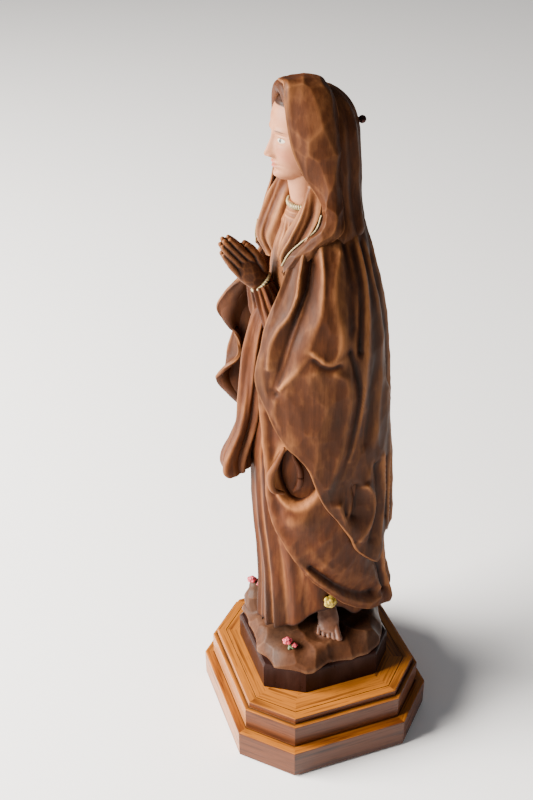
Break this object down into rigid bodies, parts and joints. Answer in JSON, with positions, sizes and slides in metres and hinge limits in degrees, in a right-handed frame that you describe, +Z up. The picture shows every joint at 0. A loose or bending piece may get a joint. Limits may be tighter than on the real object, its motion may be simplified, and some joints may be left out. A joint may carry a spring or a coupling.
{
  "type": "madonna statue",
  "caption": "Carved wooden figure of a veiled praying woman in gown and mantle, on a rock, dark plinth and stepped octagonal base.",
  "frame": {"origin": "bottom centre of the base, on the felt pad's underside", "axes": "+Z up the figure; the figure faces -Y and its left side is +X"},
  "size_m": [0.0768, 0.0768, 0.2508],
  "materials": {
    "base_wood": "glossy stained lacquer over straight grain",
    "plinth_wood": "dark stain, satin",
    "rock_wood": "knife-carved, stained, matt",
    "mantle_wood": "knife-carved facets, walnut stain, satin wax",
    "gown_wood": "knife-carved folds, light walnut stain, satin wax",
    "bodice_wood": "thin pale paint over carved pleats, matt",
    "hand_wood": "smooth dark stain, satin",
    "flesh_paint": "painted flesh colour over wood, soft satin",
    "gold_trim": "worn pale gilding over wood",
    "gold_paint": "golden yellow paint over wood",
    "red_paint": "red and green paint over wood",
    "felt": "green wool felt",
    "screw_steel": "zinc-plated steel",
    "pin_metal": "darkened steel with a brown bead head"
  },
  "bodies": {
    "root": {"felt_pad": "felt", "base_lower_tier": "base_wood", "base_upper_tier": "base_wood", "base_screw_front": "screw_steel", "base_screw_rear": "screw_steel", "plinth": "plinth_wood", "rock_ground": "rock_wood", "foot_left": "flesh_paint", "foot_right": "flesh_paint", "foot_rose_left": "gold_paint", "foot_rose_right": "gold_paint", "rose_twig_left": "red_paint", "rose_twig_right": "red_paint", "gown_skirt": "gown_wood", "gown_overskirt": "gown_wood", "gown_bodice": "bodice_wood", "head": "flesh_paint", "mantle_back": "mantle_wood", "mantle_left_drape": "mantle_wood", "mantle_right_drape": "mantle_wood", "collar_trim": "gold_trim", "hand_left": "hand_wood", "hand_right": "hand_wood", "cuff_left": "gold_trim", "cuff_right": "gold_trim", "sleeve_left": "gown_wood", "sleeve_right": "gown_wood", "sash": "mantle_wood", "veil_hood": "mantle_wood", "veil_back": "mantle_wood", "halo_pin": "pin_metal"}
  },
  "joints": []
}
